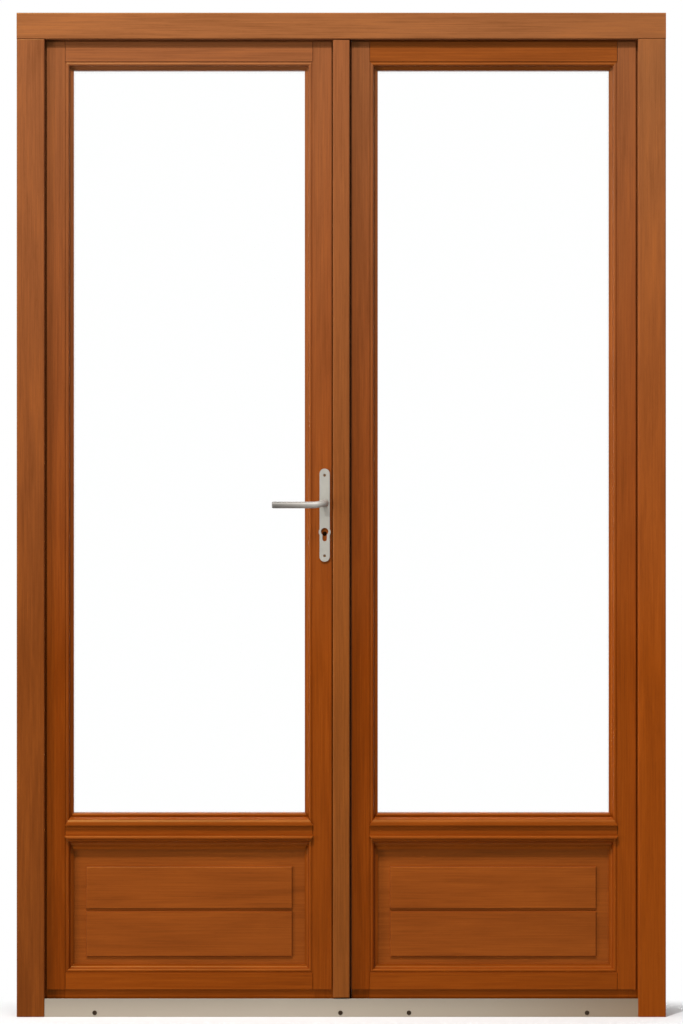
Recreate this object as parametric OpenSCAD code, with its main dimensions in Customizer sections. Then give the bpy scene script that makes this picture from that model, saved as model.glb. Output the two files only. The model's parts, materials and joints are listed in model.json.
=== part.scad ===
// A pair of french doors in their frame: two glazed timber leaves over a raised lower panel, hung on
// pin hinges in a rebated frame with a metal threshold. X runs to the right as seen from outside, Y runs
// from outside to inside, and Z is up. The origin is on the floor, in the middle of the leaf thickness.

/* [Frame] */
// Overall width of the frame
frame_w = 1400; // [1300:5:1600]
// Overall height of the frame
frame_h = 2165; // [2080:5:2300]
// Face width of each jamb
jamb_face = 60; // [56:1:72]
// Face height of the head
head_face = 57; // [52:1:72]
// How far the frame stands proud of the leaves outside
frame_proud = 17; // [13:0.5:22]
// Depth of the rebate that takes the leaf edges
rebate_w = 16; // [14:0.5:19]
// Radius of the rounded arrises
arris_r = 3; // [1.5:0.5:4.5]
// Bore of the wall fixings
fixing_d = 8.5; // [6:0.5:11]
// Height of the lowest wall fixing
fixing_low = 200; // [150:5:240]
// Distance of the highest wall fixing below the head
fixing_high = 168; // [150:1:240]
// Number of wall fixings in each jamb
fixing_n = 4; // [3:1:6]
// Length of the tenon on each jamb
jamb_tenon = 28; // [20:1:34]
// Radius of the arris on top of each jamb, at its joint with the head
joint_r = 2; // [1:0.25:3]

/* [Threshold] */
// Height of the threshold's front
sill_h = 39; // [35:1:45]
// Height of the tread under the leaves
tread_h = 20; // [16:1:24]
// Wall of the threshold extrusion
sill_wall = 2.5; // [2:0.25:3.5]
// Chamfer on the threshold's front edge
sill_edge = 0.6; // [0.4:0.1:2]
// How far the threshold's front sits behind the frame's front
sill_set = 2; // [1:0.5:4]
// Height of the screws in the threshold's front
sill_screw_z = 8.5; // [8:0.5:13]
// Head diameter of those screws
sill_screw_d = 10; // [7:0.2:11]

/* [Leaves] */
// Thickness of the leaves
leaf_t = 56; // [54:1:64]
// Gap round a leaf in its rebate
edge_gap = 4; // [3:0.5:5]
// Gap between the two leaves
meeting_gap = 4.5; // [4.25:0.25:6]
// Thickness of the lip that laps the frame inside
lip_t = 13; // [12:0.5:16]
// How far the lip laps the frame
lip_lap = 8; // [6:0.5:10]
// Gap between a leaf and the faces that it closes on
close_gap = 1; // [0.6:0.1:1.4]
// Width of the flat face of each stile
stile_face = 43; // [40:1:52]
// Height of the flat face of the top rail below the head
top_face = 46; // [42:1:60]
// Height of the glass's lower sight edge
glass_z = 438; // [425:1:520]
// Height of the sill moulding under the glass
sill_mould_h = 26.5; // [25:0.5:32]
// Height of the plain band under the sill moulding
band_h = 22; // [18:1:30]
// Height of the cornice moulding over the panel
cornice_h = 31; // [29:1:34]
// Height of the panel's lower sight edge
panel_z = 110; // [105:1:125]
// Height of the stepped-back drip band at the foot of a leaf
drip_z = 57; // [52:1:66]
// How far the drip band is stepped back
drip_set = 8; // [7.5:0.5:12]
// Clearance between a leaf and the tread
tread_gap = 5; // [4:0.5:7]
// Length of the rail tenons
tenon_l = 22; // [18:1:24]
// Thickness of the rail tenons
tenon_t = 16; // [12:1:18]
// Width of the fine chamfer on the rails' shoulders
joint_w = 1.2; // [0.6:0.1:2]
// Depth of that chamfer
joint_d = 2.5; // [1:0.1:3]
// Width of the shadow line round a leaf, beside the frame
shadow_w = 4; // [2.5:0.25:5]
// Depth of that shadow line
shadow_d = 7; // [4:0.5:7]

/* [Mouldings] */
// Width of the mouldings round the glass and the panel
moulding_w = 18; // [17:0.5:22]
// Depth of the mouldings
moulding_d = 15; // [14:0.5:17]
// Radius of the bead beside the stile
bead_r = 4; // [3:0.25:4.25]
// Width of the quirk beside the bead
quirk_w = 1.3; // [1:0.1:1.8]
// Depth of that quirk
quirk_d = 1.8; // [1:0.1:2.5]
// Width of the fillet at the sight edge
fillet_w = 2.5; // [1.5:0.25:3]
// Radius of the sill moulding's rounded slope
sill_r = 18; // [16.5:0.5:19]
// How far the sill moulding overhangs the leaf's face
sill_over = 7.5; // [5:0.5:10]
// Radius of the sill moulding's bead by the glass
sill_bead_r = 4; // [3:0.25:4.5]
// Radius of the cornice's bead
cornice_bead_r = 4; // [3:0.25:4.5]
// Distance of that bead's middle from the leaf's face
cornice_out = 7; // [3:0.5:8]
// Radius of the cornice's cove
cove_r = 13; // [11:0.5:14]

/* [Panel] */
// Thickness of the panel's board
panel_t = 22; // [18:1:24]
// Border beside the raised field
field_side = 27; // [22:1:34]
// Border under the raised field
field_low = 16; // [12:1:28]
// Border over the raised field
field_high = 38; // [28:1:44]
// Rise of the raised field
field_rise = 5; // [3:0.5:7]
// Radius of the field's arrises
field_r = 2.5; // [1.5:0.25:3]
// Width of the groove across the field
groove_w = 8; // [5:0.5:10]
// Depth of the groove across the field
groove_d = 6; // [2:0.5:7]

/* [Glazing] */
// Thickness of each pane
pane_t = 4; // [3:0.5:5]
// Gap between the panes
cavity = 16; // [12:1:18]
// Play between a pane's edge and its rebate
pane_play = 3; // [2:0.5:4]
// Width of the spacer bar
spacer_w = 7; // [5:0.5:9]
// How far the glazing beads stand back from the sight edge
bead_set = 2.5; // [0:0.5:4]
// Radius of the glazing beads' inner arris
glazing_r = 6; // [3:0.5:9]

/* [Astragal] */
// Width of the cover strip on the left leaf
astragal_w = 36; // [32:1:42]
// Gap over and under the cover strip
astragal_gap = 2; // [1.5:0.5:3]
// Width of the shadow line beside the cover strip
astragal_line = 3; // [1.5:0.25:4]

/* [Handle] */
// Distance from the left leaf's edge to the spindle
backset = 54; // [50:1:58]
// Height of the spindle
handle_z = 1107; // [1000:1:1150]
// Width of the plates
plate_w = 22; // [20:0.5:26]
// Height of the plates
plate_h = 201; // [196:1:215]
// Thickness of the plates
plate_t = 4; // [3:0.5:6]
// Height of the plates above the spindle
plate_up = 75; // [72:1:82]
// Distance of the upper plate screw from the plate's top
screw_top = 14.5; // [11:0.5:18]
// Distance of the lower plate screw from the plate's foot
screw_foot = 12.5; // [11:0.5:16]
// Bore for the plate screws
screw_d = 5.5; // [4.5:0.25:6.5]
// Drop from the spindle to the key hole
key_drop = 61; // [58:1:64]
// Diameter of the key hole's round part
key_d = 16; // [14:0.5:17]
// Width of the key hole's slot
key_slot = 9.5; // [8:0.5:10]
// Height of the key hole
key_h = 29; // [26:0.5:33]
// Bore in the timber behind the key hole
key_bore = 10; // [8:0.5:15]
// How far that bore's middle lies below the key hole's middle
key_low = 4.5; // [0:0.5:6]
// Width of the plate's swelling at the key hole
swell_w = 25.5; // [24:0.5:30]
// Diameter of the lever's bar
lever_d = 14.3; // [12:0.1:17]
// Diameter of the lever's neck
neck_d = 17; // [15.5:0.5:19]
// Length of the lever from the spindle
lever_l = 113; // [95:1:135]
// Distance of the lever's bar from the leaf
lever_out = 46; // [42:1:56]
// Bend radius of the lever
lever_bend = 18; // [14:1:20]
// Side of the square spindle
spindle_s = 8; // [7:0.5:9]

/* [Lock] */
// Depth of the lock case behind its faceplate
case_d = 69; // [66:0.5:72]
// Thickness of the lock case
case_t = 16; // [14.5:0.5:18]
// Wall of the lock case
case_wall = 1.5; // [1:0.25:2]
// Thickness of the lock's faceplate
face_t = 3; // [2:0.5:4]
// Width of the lock's faceplate
face_w = 22; // [20:0.5:24]
// Length of the lock's faceplate
face_h = 216; // [205:1:240]
// Length of the hub's arm
arm_r = 19; // [17:0.5:20]
// Angle through which the lever lifts
lift = 45; // [35:1:50]
// Height of the lever's bolt
bolt_h = 22; // [18:1:24]
// Height of the key's bolt
dead_h = 24; // [20:1:28]
// Travel of the key's bolt
dead_throw = 14; // [10:0.5:15]
// Thickness of the strike plate
strike_t = 2; // [1.5:0.25:3]
// Clearance between sliding pieces
slide_gap = 0.3; // [0.2:0.05:0.4]

/* [Flush bolts] */
// Diameter of the flush bolts' rods
rod_d = 8; // [6:0.5:9]
// Travel of the flush bolts
rod_throw = 16; // [12:0.5:18]
// Length of a flush bolt's case
flush_h = 180; // [150:5:200]
// Distance from the leaf's end to a flush bolt's case
flush_end = 66; // [64:1:110]
// Depth of a flush bolt's case
flush_d = 14; // [13:0.5:15]

/* [Hinges] */
// Radius of the hinge knuckles
knuckle_r = 8; // [7:0.25:9]
// Height of each knuckle
knuckle_h = 42; // [34:1:50]
// Diameter of the hinge pins
pin_d = 8; // [6:0.5:9]
// Diameter of the hinges' dowels
dowel_d = 6; // [5:0.5:7]
// Length of the dowels in the timber
dowel_l = 28; // [20:1:32]
// Number of hinges on each leaf
hinge_n = 3; // [2:1:4]
// Height of the lowest hinge above the leaf's foot
hinge_low = 220; // [160:5:300]
// Distance of the highest hinge below the leaf's top
hinge_high = 220; // [160:5:300]

/* [Hidden] */
$fn = 64;

wood = "#9a5a2a";
wood_light = "#a9673a";
metal = "#b7b2a6";
bright_metal = "#c9c7c2";
dark_metal = "#4a443d";
alu = "#bdb2a0";
rubber = "#26221f";
pile = "#4a2a16";
glass = [0.82, 0.9, 0.9, 0.35];

// Depths, from outside to inside
y_face = -leaf_t / 2;
y_back = leaf_t / 2;
y_front = y_face - frame_proud;
y_stop = y_face - close_gap;
y_lip = y_back - lip_t;
y_in = y_lip - close_gap;
y_glass = y_face + moulding_d;
y_pane_in = y_glass + 2 * pane_t + cavity;
y_drip = y_face + drip_set;
y_sill = y_front + sill_set;
y_upstand = y_drip - 2;

// Widths from the centre line
half_w = frame_w / 2;
jamb_x = half_w - jamb_face;
rebate_x = jamb_x + rebate_w;
leaf_x = rebate_x - edge_gap;
lip_x = rebate_x + lip_lap;
line_out = jamb_x - stile_face;
sight_out = line_out - moulding_w;
meet_l = astragal_w / 2;
meet_r = meet_l + meeting_gap;
line_in = meet_l + stile_face;
sight_in = line_in + moulding_w;

// Heights
z_head = frame_h - head_face;
z_rebate = z_head + rebate_w;
z_top = z_rebate - edge_gap;
z_lip = z_rebate + lip_lap;
sill_top = sill_h + 1;
z_foot = tread_h + tread_gap;
glass_top = z_head - top_face - moulding_w;
sill_z = glass_z - sill_mould_h;
cornice_top = sill_z - band_h;
panel_top = cornice_top - cornice_h;
glass_line = glass_z - moulding_w;
panel_line = panel_top + moulding_w;
foot_line = panel_z - moulding_w;
pane_lap = moulding_w - pane_play;
moulding_root = 1;
panel_back = panel_t / 2;

// Lock and handle
spindle_x = meet_l - backset;
key_z = handle_z - key_drop;
case_x = meet_l - face_t - case_d;
hub_r = spindle_s * 0.72 + 2.3;
arm_end = 4;
bolt_throw = 2 * arm_r * sin(lift / 2);
bolt_mid = handle_z + arm_r;
bolt_z = bolt_mid - bolt_h * 0.4;
bolt_y = case_t / 2 - case_wall - slide_gap;
case_z = [key_z - key_h + key_d / 2 - 6, bolt_z + bolt_h + slide_gap + case_wall];
plate_z = handle_z + plate_up - plate_h;
face_z = [key_z - face_h * 0.34, key_z + face_h * 0.66];
screw_z = [handle_z + plate_up - screw_top, plate_z + screw_foot];
neck_r = neck_d / 2;
lever_r = lever_d / 2;
lever_tilt = 10;
lever_ease = 30;

// Flush bolts
rod_x = meet_r + flush_d / 2 + strike_t / 2;
rod_r = rod_d / 2;
top_case = [z_top - flush_end - flush_h, z_top - flush_end];
foot_case = [z_foot + flush_end, z_foot + flush_end + flush_h];
slider_h = 30;

// Hinges
knuckle_gap = 0.5;
hinge_x = lip_x + knuckle_gap + knuckle_r;
hinge_y = y_in + knuckle_gap + knuckle_r;
hinge_span = z_top - hinge_high - z_foot - hinge_low;
hinge_zs = [for (i = [0:hinge_n - 1]) z_foot + hinge_low + i * hinge_span / (hinge_n - 1)];
dowel_zs = [knuckle_h * 0.25, knuckle_h * 0.75];
fixing_span = z_head - fixing_high - fixing_low;
fixing_zs = [for (i = [0:fixing_n - 1]) fixing_low + i * fixing_span / (fixing_n - 1)];
fixing_y = (y_stop + y_in) / 2;
sill_screw_xs = [for (share = [-0.831, -0.003, 0.228, 0.828]) share * jamb_x];
seal_w = 3.4;
seal_d = 5;
seal_x = jamb_x + rebate_w * 0.4;
seal_z = z_head + rebate_w * 0.4;
pile_y = y_face + 2 + seal_w / 2;
pile_clear = 2.3;
pile_z = [drip_z, z_head - shadow_w];
fit = 0.05;

// A block between two corners, given as low and high values along each axis
module block(x, y, z) {
  translate([x[0], y[0], z[0]])
    cube([x[1] - x[0], y[1] - y[0], z[1] - z[0]]);
}

// An outline in X and Z, drawn through the depths y
module through_y(y) {
  translate([0, y[1], 0])
    rotate([90, 0, 0])
      linear_extrude(y[1] - y[0])
        children();
}

// An outline in Y and Z, drawn along the lengths x
module along_x(x) {
  translate([x[0], 0, 0])
    rotate([90, 0, 90])
      linear_extrude(x[1] - x[0])
        children();
}

// A flat rectangle between two corners
module plate(a, b) {
  translate(a)
    square(b - a);
}

// What a rounded arris of radius r takes off a corner at p, with the material towards turn
module arris(p, turn, r) {
  translate(p)
    rotate(turn)
      difference() {
        translate([-1, -1])
          square(r + 1);
        translate([r, r])
          circle(r);
      }
}

// A round bar along X, Y or Z
module bar_x(x, y, z, r) {
  translate([x[0], y, z])
    rotate([0, 90, 0])
      cylinder(h = x[1] - x[0], r = r);
}

module bar_y(x, y, z, r) {
  translate([x, y[1], z])
    rotate([90, 0, 0])
      cylinder(h = y[1] - y[0], r = r);
}

module bar_z(x, y, z, r) {
  translate([x, y, z[0]])
    cylinder(h = z[1] - z[0], r = r);
}

module other_hand() {
  mirror([1, 0, 0])
    children();
}

// Frame pieces

module head() {
  color(wood_light)
    difference() {
      along_x([-half_w, half_w])
        difference() {
          plate([y_front, z_head], [y_in, frame_h]);
          arris([y_front, z_head], 0, arris_r);
          arris([y_front, frame_h], -90, arris_r);
        }
      block([-rebate_x, rebate_x], [y_stop, y_in + 1], [z_head - 1, z_rebate]);
      for (side = [-1, 1])
        jamb_tenon_block(side, fit);
      block([-rebate_x, rebate_x], [y_stop - seal_d, y_stop + 1], [seal_z - seal_w / 2, seal_z + seal_w / 2]);
      keep_plate_block(fit);
      bar_z(rod_x, 0, [z_rebate - 1, z_rebate + rod_throw + 4], rod_r + 0.6);
    }
}

module jamb_tenon_block(side, play) {
  tenon_x = (half_w + rebate_x) / 2 * side;
  tenon_y = (y_stop + y_in) / 2;
  block([tenon_x - 9 - play, tenon_x + 9 + play], [tenon_y - 12 - play, tenon_y + 12 + play],
    [z_head - 1, z_head + jamb_tenon + play]);
}

module jamb() {
  difference() {
    union() {
      linear_extrude(z_head)
        difference() {
          plate([-half_w, y_front], [-jamb_x, y_in]);
          plate([-rebate_x, y_stop], [-jamb_x + 1, y_in + 1]);
          arris([-half_w, y_front], 0, arris_r);
          arris([-jamb_x, y_front], 90, arris_r);
        }
      jamb_tenon_block(-1, 0);
    }
    along_x([-half_w - 1, -jamb_x + 1])
      arris([y_front, z_head], -90, joint_r);
    for (z = fixing_zs)
      bar_x([-half_w - 1, -rebate_x + 1], fixing_y, z, fixing_d / 2);
    block([-seal_x - seal_w / 2, -seal_x + seal_w / 2], [y_stop - seal_d, y_stop + 1],
      [sill_top, z_head + 1]);
    frame_dowels(fit);
  }
}

module left_jamb() {
  color(wood)
    jamb();
}

module right_jamb() {
  color(wood)
    other_hand()
      jamb();
}

module threshold_outline() {
  difference() {
    polygon([
      [y_sill, 0], [y_sill, sill_h - sill_edge], [y_sill + sill_edge, sill_h], [y_upstand, sill_top],
      [y_upstand, tread_h], [y_in, tread_h], [y_in, 0]
    ]);
    polygon([
      [y_sill + sill_wall, sill_wall], [y_sill + sill_wall, sill_h - sill_wall - 1],
      [y_upstand - sill_wall, sill_h - sill_wall + 0.5], [y_upstand - sill_wall, sill_wall]
    ]);
    plate([y_upstand, sill_wall], [y_in - sill_wall, tread_h - sill_wall]);
  }
}

module threshold() {
  color(alu)
    difference() {
      along_x([-rebate_x, rebate_x])
        threshold_outline();
      for (side = [-1, 1])
        block([side * (jamb_x + half_w) / 2 - jamb_face / 2, side * (jamb_x + half_w) / 2 + jamb_face / 2],
          [y_front, y_stop], [-1, sill_h + 2]);
      for (x = sill_screw_xs)
        bar_y(x, [y_sill - 1, y_sill + sill_wall + 1], sill_screw_z, sill_screw_d * 0.26 + fit);
      bar_z(rod_x, 0, [tread_h - sill_wall - 1, tread_h + 1], rod_r + 2 + fit);
    }
}

module threshold_screws() {
  color(dark_metal)
    for (x = sill_screw_xs) {
      bar_y(x, [y_sill, y_sill + 14], sill_screw_z, sill_screw_d * 0.26);
      translate([x, y_sill, sill_screw_z])
        rotate([90, 0, 0])
          difference() {
            cylinder(h = 1.6, r1 = sill_screw_d / 2, r2 = sill_screw_d * 0.38);
            for (turn = [0, 90])
              rotate(turn)
                translate([-sill_screw_d * 0.26, -0.5, 0.6])
                  cube([sill_screw_d * 0.52, 1, 2]);
          }
    }
}

// A bulb seal: a stem in its groove and a bulb that stops just short of the leaf
module seal_outline() {
  plate([-seal_w / 2 + 0.3, -seal_d], [seal_w / 2 - 0.3, -1]);
  translate([0, -0.9])
    circle(seal_w / 2 - 0.1);
}

module frame_seal() {
  color(rubber) {
    for (side = [-1, 1])
      translate([side * seal_x, y_stop, sill_top])
        linear_extrude(z_head - sill_top)
          seal_outline();
    along_x([-seal_x - seal_w / 2, seal_x + seal_w / 2])
      translate([y_stop, seal_z])
        rotate(-90)
          seal_outline();
  }
}

module threshold_seal() {
  color(rubber)
    along_x([-jamb_x + 2, jamb_x - 2])
      difference() {
        plate([y_upstand, sill_h - 9], [y_drip - slide_gap, sill_h - 1]);
        arris([y_drip - slide_gap, sill_h - 1], 180, 1);
        arris([y_drip - slide_gap, sill_h - 9], 90, 1);
      }
}

module keep_plate_block(play) {
  block([rod_x - 13 - play, rod_x + 13 + play], [-9 - play, 9 + play], [z_rebate - 1, z_rebate + 2]);
}

module head_keep() {
  color(metal)
    difference() {
      intersection() {
        keep_plate_block(0);
        block([rod_x - 20, rod_x + 20], [-20, 20], [z_rebate, z_rebate + 2]);
      }
      bar_z(rod_x, 0, [z_rebate - 1, z_rebate + 3], rod_r + 0.6);
    }
}

module threshold_keep() {
  color(metal)
    difference() {
      union() {
        bar_z(rod_x, 0, [tread_h, tread_h + 1.5], rod_r + 5);
        bar_z(rod_x, 0, [tread_h - sill_wall - 4, tread_h + 0.1], rod_r + 2);
      }
      bar_z(rod_x, 0, [0, tread_h + 3], rod_r + 0.6);
    }
}

// Hinges: a knuckle on the frame, a pin, and a knuckle on the leaf that turns on it

module frame_dowels(play) {
  for (z = hinge_zs, d = dowel_zs)
    bar_y(-hinge_x, [y_in - dowel_l - play, hinge_y], z - d, dowel_d / 2 + play);
}

module leaf_dowels(play) {
  for (z = hinge_zs, d = dowel_zs)
    bar_x([-hinge_x, -lip_x + dowel_l + play], hinge_y, z + d, dowel_d / 2 + play);
}

// A knuckle with its closed, domed end at height h
module knuckle(h, bore) {
  difference() {
    rotate_extrude()
      difference() {
        plate([0, 0], [knuckle_r, h]);
        arris([knuckle_r, h], 180, 2.5);
      }
    translate([0, 0, -1])
      cylinder(h = h * 0.7 + 1, r = bore);
  }
}

module hinge_lowers() {
  difference() {
    union() {
      for (z = hinge_zs)
        translate([-hinge_x, hinge_y, z])
          mirror([0, 0, 1])
            knuckle(knuckle_h, pin_d / 2 + fit / 2);
      frame_dowels(0);
    }
    for (z = hinge_zs)
      bar_z(-hinge_x, hinge_y, [z - knuckle_h * 0.7, z + 1], pin_d / 2 + fit / 2);
  }
}

module hinge_pins() {
  for (z = hinge_zs)
    bar_z(-hinge_x, hinge_y, [z - knuckle_h * 0.7, z + knuckle_h * 0.68], pin_d / 2);
}

module hinge_uppers() {
  difference() {
    union() {
      for (z = hinge_zs)
        translate([-hinge_x, hinge_y, z + slide_gap])
          knuckle(knuckle_h - slide_gap, pin_d / 2 + 0.15);
      leaf_dowels(0);
    }
    for (z = hinge_zs)
      bar_z(-hinge_x, hinge_y, [z - 1, z + knuckle_h * 0.7], pin_d / 2 + 0.15);
  }
}

module left_hinge_lowers() {
  color(metal)
    hinge_lowers();
}

module left_hinge_pins() {
  color(bright_metal)
    hinge_pins();
}

module left_hinge_uppers() {
  color(metal)
    hinge_uppers();
}

module right_hinge_lowers() {
  color(metal)
    other_hand()
      hinge_lowers();
}

module right_hinge_pins() {
  color(bright_metal)
    other_hand()
      hinge_pins();
}

module right_hinge_uppers() {
  color(metal)
    other_hand()
      hinge_uppers();
}

// Moulding outlines. The sticking is drawn with its width from the stile's line to the sight edge along X
// and its depth from the leaf's face along Y: quirk, bead, step, cove and a fillet at the sight edge. Its
// root reaches a little into the member that carries it.

module sticking(back) {
  step = quirk_w + 2 * bead_r;
  cove_u = moulding_w - fillet_w;
  cove = cove_u - step;
  fillet_d = moulding_d - 2.5;
  cove_d = fillet_d - cove;
  difference() {
    plate([-moulding_root, 0], [moulding_w, back]);
    plate([-moulding_root - 1, -1], [quirk_w + bead_r, quirk_d]);
    plate([quirk_w + bead_r, -1], [step + 0.5, bead_r + 0.15]);
    plate([step, -1], [moulding_w + 1, cove_d]);
    intersection() {
      translate([cove_u, cove_d])
        circle(cove);
      plate([cove_u - cove - 1, cove_d - 0.5], [cove_u, moulding_d]);
    }
    plate([cove_u, cove_d - 1], [moulding_w + 1, fillet_d]);
  }
  translate([quirk_w + bead_r, bead_r + 0.15])
    circle(bead_r);
}

// The sill moulding under the glass: a bead by the glass, a quirk and a rounded, overhanging slope
module sill_outline() {
  arc_y = y_face - sill_over + sill_r;
  bead_z = glass_z - 1 - sill_bead_r;
  intersection() {
    translate([arc_y, sill_z])
      circle(sill_r);
    plate([y_face - sill_over - 1, sill_z], [arc_y + 0.5, glass_z]);
  }
  plate([y_face, sill_z - moulding_root], [y_glass, sill_z + 1]);
  plate([arc_y, sill_z], [y_glass, sill_z + sill_r]);
  plate([y_glass - sill_bead_r, sill_z], [y_glass, glass_z - 1]);
  translate([y_glass - sill_bead_r, bead_z])
    circle(sill_bead_r);
}

// The cornice over the panel: a bead on top, a cove below it and a fillet at the panel
module cornice_outline() {
  bead_z = cornice_top - cornice_bead_r;
  cove_z = panel_top + 6;
  cove_y = y_face - cornice_out + cornice_bead_r;
  translate([y_face - cornice_out, bead_z])
    circle(cornice_bead_r);
  plate([y_face - cornice_out, bead_z - cornice_bead_r], [-panel_back, cornice_top]);
  plate([y_face, cornice_top - 1], [-panel_back, cornice_top + moulding_root]);
  difference() {
    plate([cove_y, cove_z], [-panel_back, bead_z - cornice_bead_r + 0.5]);
    translate([cove_y, cove_z])
      circle(cove_r);
  }
  plate([cove_y + cove_r - 1.5, panel_top], [-panel_back, cove_z + 0.5]);
}

// The mouldings on a stile of the left leaf, from its line towards its sight edge, mitred to the rails
module stile_mouldings(line, sight) {
  turn = line > sight ? 0 : 1;
  root_x = -line + (2 * turn - 1) * moulding_root;
  lines = [[sill_z, glass_top + moulding_w], [foot_line, cornice_top], [foot_line, panel_line]];
  sights = [[glass_z, glass_top], [panel_z, panel_top], [panel_z, panel_top]];
  backs = [moulding_d, -y_face - panel_back, -y_face - panel_back];
  for (i = [0:2])
    intersection() {
      mirror([0, i == 2 ? 1 : 0, 0])
        translate([-line, y_face, 0])
          mirror([turn, 0, 0])
            linear_extrude(z_top)
              sticking(backs[i]);
      through_y([-leaf_t, leaf_t])
        polygon([
          [-line, lines[i][0]], [-sight, sights[i][0]], [-sight, sights[i][1]], [-line, lines[i][1]],
          [root_x, lines[i][1]], [root_x, lines[i][0]]
        ]);
    }
}

// The tenons of the rails, with the given play; the mortises use the same blocks
module tenons(play) {
  heights = [
    [glass_top + moulding_w + 11, z_top - 10],
    [panel_line + 5, glass_line - 5],
    [z_foot + 14, foot_line - 8]
  ];
  for (h = heights)
    block([-line_out - tenon_l - play, -line_in + tenon_l + play],
      [-tenon_t / 2 - play, tenon_t / 2 + play], [h[0] - play, h[1] + play]);
}

// The stepped-back drip band across the foot of the left leaf
module drip_cut(x) {
  block(x, [y_face - 1, y_drip], [z_foot - 1, drip_z]);
}

// The shadow line under the head, across the top of the left leaf
module shadow_cut(x) {
  block(x, [y_face - 1, y_face + shadow_d], [z_head - shadow_w, z_head + 1]);
}

// Members of the left leaf; the right leaf's members are their mirror images

module hinge_stile() {
  difference() {
    union() {
      block([-leaf_x, -line_out], [y_face, y_back], [z_foot, z_top]);
      block([-lip_x, -line_out], [y_lip, y_back], [z_foot, z_lip]);
      stile_mouldings(line_out, sight_out);
    }
    drip_cut([-leaf_x - 1, -line_out + 1]);
    shadow_cut([-jamb_x - 1, -line_out + 1]);
    block([-jamb_x - 1, -jamb_x + shadow_w], [y_face - 1, y_face + shadow_d], [z_foot - 1, z_head]);
    tenons(fit);
    leaf_dowels(fit);
  }
}

module meeting_stile(edge) {
  difference() {
    union() {
      block([-line_in, edge], [y_face, y_back], [z_foot, z_top]);
      block([-line_in, edge], [y_lip, y_back], [z_foot, z_lip]);
      stile_mouldings(line_in, sight_in);
    }
    drip_cut([-line_in - 1, edge + 1]);
    shadow_cut([-line_in - 1, edge + 1]);
    tenons(fit);
  }
}

module rail_body(z) {
  difference() {
    block([-line_out, -line_in], [y_face, y_back], z);
    shoulder_vees();
  }
}

// The fine chamfers at both ends of a rail, on both faces
module shoulder_vees() {
  for (x = [-line_out, -line_in], side = [0, 1])
    mirror([0, side, 0])
      linear_extrude(z_top)
        polygon([
          [x - 2 * joint_w, y_face - joint_d], [x + 2 * joint_w, y_face - joint_d], [x, y_face + joint_d]
        ]);
}

// What mitres a moulding on a rail between its line and its sight edge, with its root in the rail
module mitred_span(line, sight, root) {
  through_y([-2 * leaf_t, 2 * leaf_t])
    polygon([
      [-line_out, line], [-line_out, line + root], [-line_in, line + root], [-line_in, line],
      [-sight_in, sight], [-sight_out, sight]
    ]);
}

// A mitred moulding on a rail, from its line at height z towards its sight edge; dir is -1 for downwards
module rail_moulding(z, dir, inside, back) {
  intersection() {
    mirror([0, inside ? 1 : 0, 0])
      along_x([-line_out, -line_in])
        translate([y_face, z])
          mirror([0, dir < 0 ? 1 : 0])
            mirror([1, -1])
              sticking(back);
    mitred_span(z, z + dir * moulding_w, -dir * moulding_root);
  }
}

module rail_tenons(z) {
  intersection() {
    tenons(0);
    difference() {
      block([-line_out - tenon_l, -line_in + tenon_l], [y_face, y_back], z);
      block([-line_out + 1, -line_in - 1], [y_face, y_back], z);
    }
  }
}

module top_rail() {
  z = [glass_top + moulding_w, z_top];
  difference() {
    rail_body(z);
    shadow_cut([-line_out - 1, -line_in + 1]);
  }
  block([-line_out, -line_in], [y_lip, y_back], [z_top - 1, z_lip]);
  rail_moulding(z[0], -1, false, moulding_d);
  rail_tenons(z);
}

module middle_rail() {
  difference() {
    along_x([-line_out, -line_in])
      polygon([
        [y_face, cornice_top], [y_face, sill_z], [y_glass, sill_z], [y_glass, glass_line], [y_back, glass_line],
        [y_back, panel_line], [-panel_back, panel_line], [-panel_back, cornice_top]
      ]);
    shoulder_vees();
  }
  rail_tenons([panel_line, glass_line]);
  intersection() {
    along_x([-line_out, -line_in])
      sill_outline();
    mitred_span(sill_z, glass_z, -moulding_root);
  }
  intersection() {
    along_x([-line_out, -line_in])
      cornice_outline();
    mitred_span(cornice_top, panel_top, moulding_root);
  }
  rail_moulding(panel_line, -1, true, -y_face - panel_back);
}

module bottom_rail() {
  z = [z_foot, foot_line];
  difference() {
    rail_body(z);
    drip_cut([-line_out - 1, -line_in + 1]);
  }
  rail_tenons(z);
  for (inside = [false, true])
    rail_moulding(foot_line, 1, inside, -y_face - panel_back);
}

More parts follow.
